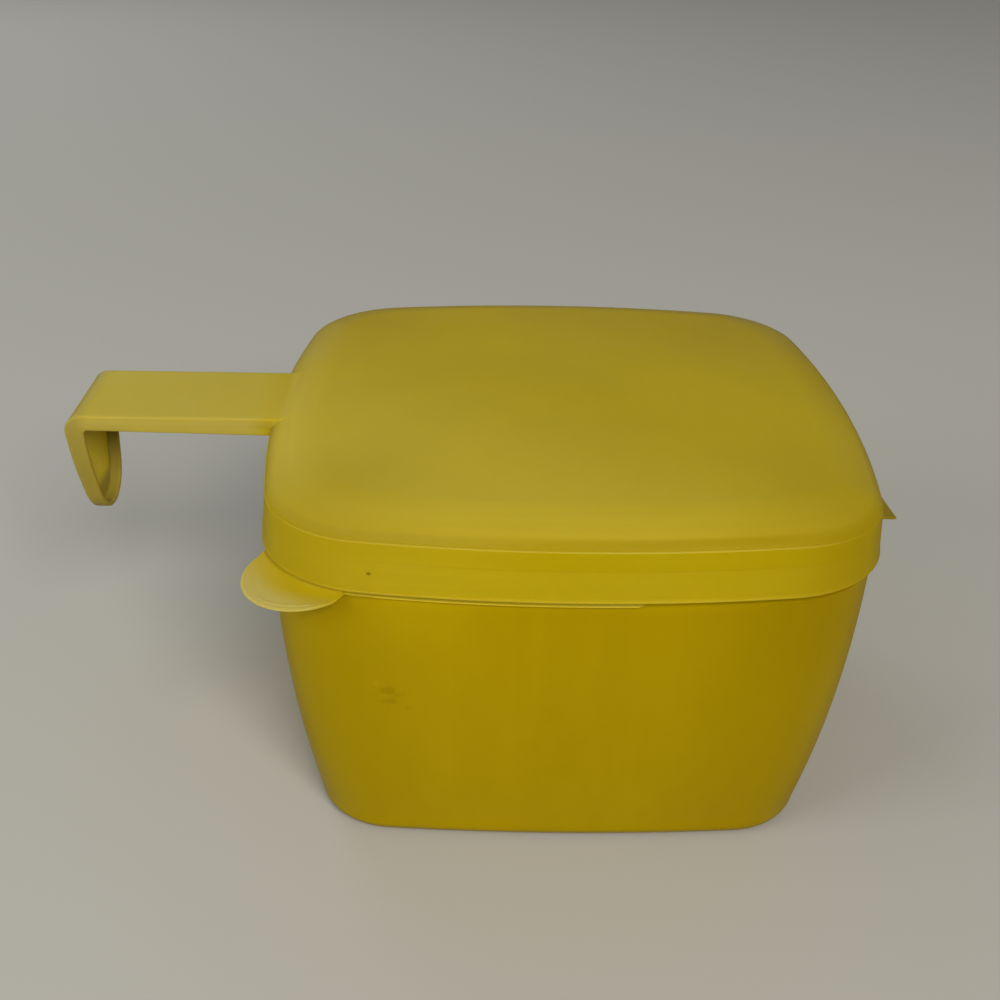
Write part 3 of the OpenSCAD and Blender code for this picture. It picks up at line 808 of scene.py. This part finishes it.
def makeSatinGroup():
    # fine moulded skin with hairline scratches: a height for the bump and a mask of the scratches
    tree, given, out = newGroup("satinSkin", [("Vector", "Vector", None), ("Grain", "Float", 1400.0),
                                ("Wear", "Float", 0.5)],
                                [("Height", "Float"), ("Scratches", "Float"), ("Rubbed", "Float")])
    grain = noiseAt(tree, given["Vector"], given["Grain"], 2.0)
    lines = []
    for angle, stretch in skin["scratchWays"]:
        turned = addNode(tree, "ShaderNodeMapping", {
            "Vector": given["Vector"], "Rotation": (angle * 0.7, angle * 0.4, angle),
            "Scale": (1.0, stretch, stretch * 0.6)})
        streak = noiseAt(tree, turned.outputs[0], skin["scratchScale"], 4.0, 0.7)
        lines.append(ranged(tree, streak, *skin["scratches"]))
    some = maths(tree, "MAXIMUM", maths(tree, "MAXIMUM", lines[0], lines[1]), lines[2])
    where = ranged(tree, noiseAt(tree, given["Vector"], skin["rubbedScale"], 2.0), *skin["rubbed"])
    scratches = maths(tree, "MULTIPLY", maths(tree, "MULTIPLY", some, where), given["Wear"])
    height = maths(tree, "SUBTRACT", maths(tree, "MULTIPLY", grain, skin["grainHeight"]), scratches)
    tree.links.new(height, out["Height"])
    tree.links.new(scratches, out["Scratches"])
    tree.links.new(where, out["Rubbed"])
    return tree


def makeFlowGroup():
    # streaks left by the flow of the plastic in the mould: noise stretched along one way
    tree, given, out = newGroup("flowStreaks", [("Vector", "Vector", None), ("Stretch", "Vector", (1, 1, 1))],
                                [("Mask", "Float")])
    stretched = addNode(tree, "ShaderNodeVectorMath", {0: given["Vector"], 1: given["Stretch"]},
                        operation="MULTIPLY").outputs[0]
    tree.links.new(ranged(tree, noiseAt(tree, stretched, 1.0, 3.0, 0.6), *skin["flow"]), out["Mask"])
    return tree


def makeSlopeGroup():
    # mask that rises smoothly from Low to High, measured along Direction, in metres
    tree, given, out = newGroup("slopeMask", [("Vector", "Vector", None), ("Direction", "Vector", (0, 0, 1)),
                                ("Low", "Float", 0.0), ("High", "Float", 0.1)], [("Mask", "Float")])
    along = addNode(tree, "ShaderNodeVectorMath", {0: given["Vector"], 1: given["Direction"]},
                    operation="DOT_PRODUCT").outputs["Value"]
    tree.links.new(ranged(tree, along, given["Low"], given["High"]), out["Mask"])
    return tree


def makeCornerShadeGroup():
    # mask of the four corners, for their painted shade: the lesser of |x| and |y|, from Low to High
    tree, given, out = newGroup("cornerShadeMask", [("Vector", "Vector", None), ("Low", "Float", 0.02),
                                ("High", "Float", 0.06)], [("Mask", "Float")])
    parts = addNode(tree, "ShaderNodeSeparateXYZ", {0: given["Vector"]}).outputs
    least = maths(tree, "MINIMUM", maths(tree, "ABSOLUTE", parts[0]), maths(tree, "ABSOLUTE", parts[1]))
    tree.links.new(ranged(tree, least, given["Low"], given["High"]), out["Mask"])
    return tree


def makeMarkGroup():
    # mask of one mark at a place: an ellipsoid with its half sizes in metres, made ragged by noise
    tree, given, out = newGroup("singleMark", [("Vector", "Vector", None), ("Place", "Vector", None),
                                ("Size", "Vector", None), ("Ragged", "Float", 0.0)], [("Mask", "Float")])
    off = addNode(tree, "ShaderNodeVectorMath", {0: given["Vector"], 1: given["Place"]}, operation="SUBTRACT")
    scaled = addNode(tree, "ShaderNodeVectorMath", {0: off.outputs[0], 1: given["Size"]}, operation="DIVIDE")
    far = addNode(tree, "ShaderNodeVectorMath", {0: scaled.outputs[0]}, operation="LENGTH").outputs["Value"]
    noise = noiseAt(tree, given["Vector"], skin["markScale"], 3.0)
    ragged = maths(tree, "MULTIPLY", maths(tree, "SUBTRACT", noise, 0.5), given["Ragged"])
    tree.links.new(ranged(tree, maths(tree, "ADD", far, ragged), 0.5, 1.0, 1.0, 0.0), out["Mask"])
    return tree


groups = {"clouds": makeCloudGroup(), "satin": makeSatinGroup(), "flow": makeFlowGroup(),
          "slope": makeSlopeGroup(), "corner": makeCornerShadeGroup(), "mark": makeMarkGroup()}


def level(low, high, soft):
    # slopes that bound a level band, given in millimetres
    return [((0, 0, 1), low, low + soft), ((0, 0, -1), -high, soft - high)]


def hookHollow(soft=0.4):
    # slopes round the inner face of the hook, where its hollow gets painted light: between its side walls,
    # which taper below taperStart, between its ends, and in front of its outer face; each rises over soft
    fall = handle["hookHeight"] - handle["taperStart"] - handle["tipRadius"]
    taper = math.atan((handle["width"] / 2 - handle["tipRadius"]) / fall)
    half = handle["width"] / 2 - handle["thick"] - handle["innerRound"]
    low = (handleTop - handle["taperStart"]) * math.sin(taper) - half * math.cos(taper)
    walls = [((0, side * math.cos(taper), math.sin(taper)), low, low + soft) for side in (-1, 1)]
    walls += [((0, side, 0), -half, soft - half) for side in (-1, 1)]
    tip = handleTop - handle["hookHeight"]
    ends = [((0, 0, 1), tip + 5.0, tip + 9.0), ((0, 0, -1), 1.0 - handleTop, 1.0 + soft - handleTop)]
    lean, bend = math.radians(handle["lean"]), handle["bend"]
    bendX = bend - levels["edge"][0] - handle["reach"]
    outerFace = bendX * math.cos(lean) + (handleTop - bend) * math.sin(lean) - bend
    front = ((math.cos(lean), 0, math.sin(lean)), outerFace + 1.0 - soft, outerFace + 1.0)
    return walls + ends + [front, ((-1, 0, 0), 112.0, 120.0)]


lipBottom = edgeHeight - seal["lipDrop"]
overCrease = ((0, 0, 1), creaseHeight, creaseHeight + 3.0)

# a region is a tint, its strength and the slopes (direction, low, high) whose masks are multiplied; most
# regions are painted light or shade
bowlPlastic = {
    "name": "deepYellowPlastic",
    "colour": (166, 138, 1),
    "pale": (171, 145, 6),
    "cloudSize": 26.0,
    "cloudStrength": 0.35,
    "roughness": (0.38, 0.48),
    "specular": 0.05,
    "shine": (1.0, 0.8, 0.05),
    "scratch": (196, 170, 40),
    # painted shade: the colour darkens where a face turns edge-on (tint, strength)
    "rim": ((104, 84, 0), 0.4),
    "wear": 0.5,
    "subsurface": 0.5,
    "flow": ((150, 122, 0), 0.16, (90.0, 90.0, 9.0)),
    # painted shade: the corners darker (tint, strength, low and high in millimetres)
    "corner": ((136, 112, 0), 0.5, 16, 62),
    "regions": [
        ((150, 122, 0), 0.3, level(0.0, 6.0, 3.0)),  # painted shade: darker along the foot, next to the floor
        ((180, 152, 8), 0.7, [((-1, 0, 0), -5.0, 62.0)]),  # painted light: paler towards the handle's side
        ((134, 110, 0), 0.4, [((1, 0, 0), 25.0, 70.0), ((0, 0, 1), 45.0, 75.0)]),  # painted shade: darker on the opposite side
        # painted light at the top of the tab's corner, lifting the shade under the tab
        ((190, 162, 10), 0.6, [((-0.707, -0.707, 0), 66.0, 88.0), ((0, 0, 1), 58.0, 78.0)]),
    ],
    "marks": [  # place and half sizes in millimetres, raggedness, tint, strength
        ((-45.0, -73.2, 52.7), (2.2, 2.0, 1.6), 2.4, (134, 110, 0), 0.42),
        ((-44.4, -72.8, 49.2), (3.6, 2.0, 1.0), 2.2, (134, 110, 0), 0.42),
        ((-42.2, -73.0, 51.4), (2.6, 2.0, 1.2), 3.0, (138, 112, 0), 0.35),
        ((-47.6, -73.3, 54.6), (1.8, 2.0, 1.2), 2.6, (176, 150, 20), 0.4),
        ((-39.8, -73.1, 47.4), (1.4, 2.0, 1.0), 2.6, (138, 112, 0), 0.3),
    ],
}

sealPlastic = {
    "name": "paleYellowPlastic",
    "colour": (172, 150, 22),
    "pale": (178, 160, 56),
    "cloudSize": 34.0,
    "cloudStrength": 0.45,
    "roughness": (0.40, 0.50),
    "specular": 0.06,
    "shine": (1.0, 0.94, 0.6),
    "scratch": (200, 184, 110),
    # painted shade: the colour darkens where a face turns edge-on (tint, strength)
    "rim": ((150, 128, 20), 0.3),
    "wear": 0.4,
    "subsurface": 0.6,
    "flow": ((160, 138, 20), 0.1, (120.0, 120.0, 120.0)),
    "regions": [
        ((180, 153, 4), 0.9, [((-0.707, -0.707, 0), 88.0, 92.0)]),  # painted shade: deeper along the skirt, under the cover's edge
        ((182, 166, 86), 0.7, [((-0.707, -0.707, 0), 97.0, 104.5)]),  # painted light: the tab paler, as if lit through, then its two ends
        ((182, 166, 86), 0.7, [((-0.35, -0.937, 0), 89.5, 96.5)]),
        ((182, 166, 86), 0.7, [((-0.937, -0.35, 0), 89.5, 96.5)]),
        ((226, 190, 50), 0.9, [((0.707, 0.707, 0), -88.0, -86.0),  # painted highlight along the lip's lower edge
                               *level(lipBottom - 0.1, lipBottom + 0.4, 0.12)]),
    ],
    "marks": [
        # painted shade: darker under the skirt's edge, at the tab's right end
        ((-54.5, -78.2, 81.2), (5.5, 3.0, 2.6), 0.0, (162, 134, 2), 0.95),
    ],
}

coverPlastic = {
    "name": "satinYellowPlastic",
    "colour": (168, 144, 10),
    "pale": (173, 150, 32),
    "cloudSize": 24.0,
    "cloudStrength": 0.5,
    "roughness": (0.42, 0.54),
    "specular": 0.05,
    "shine": (1.0, 0.92, 0.5),
    "scratch": (198, 176, 70),
    # painted shade: the colour darkens where a face turns edge-on (tint, strength)
    "rim": ((104, 84, 0), 0.45),
    "wear": 0.5,
    "subsurface": 0.6,
    "flow": ((158, 134, 2), 0.12, (14.0, 14.0, 900.0)),
    # painted shade: the corners darker (tint, strength, low and high in millimetres)
    "corner": ((146, 122, 0), 0.4, 24, 68),
    "regions": [  # the dome, its foot, the skirt, the far lip, then the handle from the dome to the hook
        ((190, 167, 50), 0.66, [((-0.5, -0.87, 0), -5.0, 72.0), overCrease]),  # painted light: paler towards the front left
        ((142, 118, 8), 0.3, [((0.6, 0.8, 0), 15.0, 75.0), overCrease]),  # painted shade: darker towards the far right
        # painted shade and light above the crease: darker towards +X, paler towards -X
        ((150, 129, 8), 0.5, [((1, 0, 0), -50.0, 30.0), *level(creaseHeight, creaseHeight + 2.4, 0.7)]),
        ((164, 144, 52), 0.4, [((-1, 0, 0), 0.0, 45.0), *level(creaseHeight, creaseHeight + 2.2, 0.6)]),
        # painted shadow under the handle, on the dome's left side
        ((138, 116, 10), 0.8, [((-1, 0, 0), 71.0, 77.0), *level(creaseHeight, handleTop - 2.0, 1.0)]),
        ((180, 156, 16), 0.7, level(edgeHeight, edgeHeight + 8.3, 0.8)),  # lower and upper skirt
        ((175, 152, 4), 0.8, level(edgeHeight + 7.9, creaseHeight, 0.6)),
        # painted light: the skirt paler towards -X; painted shade: darker at its far right
        ((188, 164, 30), 0.5, [((-1, 0, 0), 0.0, 60.0), *level(edgeHeight + 1.0, creaseHeight, 0.4)]),
        ((122, 101, 0), 0.6, [((1, 0, 0), 74.0, 81.0), *level(edgeHeight, creaseHeight, 0.6)]),
        ((198, 172, 44), 0.6, level(edgeHeight - 0.1, edgeHeight + 0.75, 0.2)),  # painted highlight along the skirt's lower edge
        ((196, 176, 66), 0.45, [((1, 0, 0), -74.0, -60.0), ((-1, 0, 0), -70.0, -50.0),  # painted highlight along the crease
                                *level(creaseHeight - 0.35, creaseHeight + 0.1, 0.12)]),
        # painted shade: the skirt darker towards +X
        ((138, 114, 0), 0.75, [((1, 0, 0), 42.0, 82.0), ((0, 0, -1), -creaseHeight - 2.0, -creaseHeight)]),
        ((130, 112, 20), 0.9, [((1, 0, 0), 80.5, 82.0)]),  # painted shade: the far lip darker
        ((180, 161, 58), 0.6, [((-1, 0, 0), 77.0, 86.0)]),  # handle
        # painted light on the handle's front flange
        ((182, 166, 88), 0.4, [((-1, 0, 0), 79.0, 84.0), ((0, -1, 0), 14.6, 15.9)]),
        # painted shade: the hook darker below the handle's top
        ((150, 132, 54), 0.75, [((-1, 0, 0), 112.0, 120.0), ((0, 0, -1), -97.0, -91.0)]),
        ((150, 134, 60), 0.7, [((-1, 0, 0), 126.0, 131.0)]),  # painted shade on the hook's outer face and flanges
        # painted light inside the hook's hollow
        ((210, 190, 48), 0.95, hookHollow()),
    ],
    "marks": [
        ((-48.2, -76.2, 87.3), (0.75, 0.6, 0.55), 0.5, (104, 88, 2), 0.7),
    ],
}

plastic = {  # what the three materials share
    "scratches": 0.35,  # strength of the scratches' tint
    "rubbed": 0.05,  # roughness that rubbed places gain
    "bump": 0.12,
    "bumpDepth": 0.0002,
    "bend": 1.5,  # index of refraction
    "scatter": (1.0, 0.8, 0.25),
    "scatterDepth": 0.0014,
    "rim": (0.6, 0.95),  # how far a face turns away where its rim tint, painted shade on faces seen edge-on, starts and is full
}


def makePlastic(look):
    # one colour after another is laid over the clouded base, many of them painted light and shade, and the
    # rim's painted shade and the marks come last
    material = bpy.data.materials.new(look["name"])
    material.use_nodes = True
    tree = material.node_tree
    tree.nodes.clear()
    place = addNode(tree, "ShaderNodeTexCoord").outputs["Object"]

    def grouped(kind, inputs):
        return addNode(tree, "ShaderNodeGroup", {"Vector": place, **inputs}, node_tree=groups[kind]).outputs

    def tinted(colour, mask, strength, tint):
        return mixed(tree, maths(tree, "MULTIPLY", mask, strength), colour, linear(*tint))

    clouds = grouped("clouds", {"Size": look["cloudSize"], "Strength": look["cloudStrength"]})["Mask"]
    satin = grouped("satin", {"Wear": look["wear"]})
    colour = mixed(tree, clouds, linear(*look["colour"]), linear(*look["pale"]))
    for tint, strength, slopes in look["regions"]:
        mask = 1.0
        for direction, low, high in slopes:
            slope = grouped("slope", {"Direction": direction, "Low": low * mm, "High": high * mm})["Mask"]
            mask = maths(tree, "MULTIPLY", slope, mask)
        colour = tinted(colour, mask, strength, tint)
    # painted shade on the corners
    if "corner" in look:
        tint, strength, low, high = look["corner"]
        mask = grouped("corner", {"Low": low * mm, "High": high * mm})["Mask"]
        colour = tinted(colour, mask, strength, tint)
    tint, strength, stretch = look["flow"]
    colour = tinted(colour, grouped("flow", {"Stretch": stretch})["Mask"], strength, tint)
    colour = tinted(colour, satin["Scratches"], plastic["scratches"], look["scratch"])
    # painted shade: darker where a face turns away from the view
    facing = addNode(tree, "ShaderNodeLayerWeight", {"Blend": 0.5}).outputs["Facing"]
    tint, strength = look["rim"]
    colour = tinted(colour, ranged(tree, facing, *plastic["rim"]), strength, tint)
    for spot, size, ragged, tint, strength in look["marks"]:
        shape = {"Place": Vector(spot) * mm, "Size": Vector(size) * mm, "Ragged": ragged}
        colour = tinted(colour, grouped("mark", shape)["Mask"], strength, tint)
    rough = ranged(tree, clouds, 0.0, 0.5, *look["roughness"])
    rough = maths(tree, "ADD", rough, maths(tree, "MULTIPLY", satin["Rubbed"], plastic["rubbed"]))
    bump = addNode(tree, "ShaderNodeBump", {"Height": satin["Height"], "Strength": plastic["bump"],
                   "Distance": plastic["bumpDepth"]})
    surface = addNode(tree, "ShaderNodeBsdfPrincipled", {
        "Base Color": colour, "Roughness": rough, "Normal": bump.outputs[0], "IOR": plastic["bend"],
        "Specular IOR Level": look["specular"], "Specular Tint": (*look["shine"], 1.0),
        "Subsurface Weight": look["subsurface"], "Subsurface Radius": plastic["scatter"],
        "Subsurface Scale": plastic["scatterDepth"]})
    output = addNode(tree, "ShaderNodeOutputMaterial")
    tree.links.new(surface.outputs[0], output.inputs[0])
    return material


looks = {"bowlShell": bowlPlastic, "sealMoulding": sealPlastic, "coverMoulding": coverPlastic}
for name, look in looks.items():
    mesh = bpy.data.objects[name].data
    mesh.materials.clear()
    mesh.materials.append(makePlastic(look))
print("materials made")

studio = {
    "floor": (182, 178, 168),
    "floorHalf": 4.0,  # metres
    "floorRoughness": 0.85,
    "floorGloss": 0.2,
    "backdrop": (0.40, 0.41, 0.43),
    "ambient": (0.97, 1.0, 1.05),
    "ambientStrength": 0.28,
    "aim": (0, 0, 0.05),  # where the lamps point
    "lamps": [  # name, place, size, watts, colour
        ("keyLamp", (0.5, -1.5, 1.2), 0.7, 26.0, (1.0, 0.985, 0.93)),
        ("windowLamp", (-1.05, -0.6, 0.6), 0.7, 6.0, (0.9, 0.96, 1.0)),
        ("backLamp", (-0.9, 1.3, 0.9), 0.8, 5.0, (0.92, 0.97, 1.0)),
    ],
}


def makeStage():
    # a plain floor, a world that looks plain behind it and lights it softly, and the lamps
    corners = np.array([[-1, -1, 0], [1, -1, 0], [1, 1, 0], [-1, 1, 0]])
    floor = newObject("studioFloor", corners * studio["floorHalf"] / mm, [[0, 1, 2, 3]])
    material = bpy.data.materials.new("paleFloor")
    material.use_nodes = True
    surface = material.node_tree.nodes["Principled BSDF"]
    surface.inputs["Base Color"].default_value = linear(*studio["floor"])
    surface.inputs["Roughness"].default_value = studio["floorRoughness"]
    surface.inputs["Specular IOR Level"].default_value = studio["floorGloss"]
    floor.data.materials.append(material)

    world = bpy.data.worlds.new("softStudio")
    bpy.context.scene.world = world
    world.use_nodes = True
    tree = world.node_tree
    tree.nodes.clear()
    ray = addNode(tree, "ShaderNodeLightPath").outputs
    seen = maths(tree, "MAXIMUM", maths(tree, "MAXIMUM", ray["Is Camera Ray"], ray["Is Glossy Ray"]),
                 ray["Is Transmission Ray"])
    light = addNode(tree, "ShaderNodeBackground", {"Color": (*studio["ambient"], 1),
                    "Strength": studio["ambientStrength"]})
    back = addNode(tree, "ShaderNodeBackground", {"Color": (*studio["backdrop"], 1), "Strength": 1.0})
    both = addNode(tree, "ShaderNodeMixShader", {0: seen, 1: light.outputs[0], 2: back.outputs[0]})
    output = addNode(tree, "ShaderNodeOutputWorld")
    tree.links.new(both.outputs[0], output.inputs[0])

    for name, place, size, watts, colour in studio["lamps"]:
        lamp = bpy.data.lights.new(name, "AREA")
        lamp.shape, lamp.size, lamp.energy, lamp.color = "SQUARE", size, watts, colour
        obj = bpy.data.objects.new(name, lamp)
        obj.location = place
        obj.rotation_euler = (Vector(studio["aim"]) - Vector(place)).to_track_quat("-Z", "Y").to_euler()
        bpy.context.scene.collection.objects.link(obj)


makeStage()
bpy.context.scene.view_settings.view_transform = "Standard"
print("studio lit")
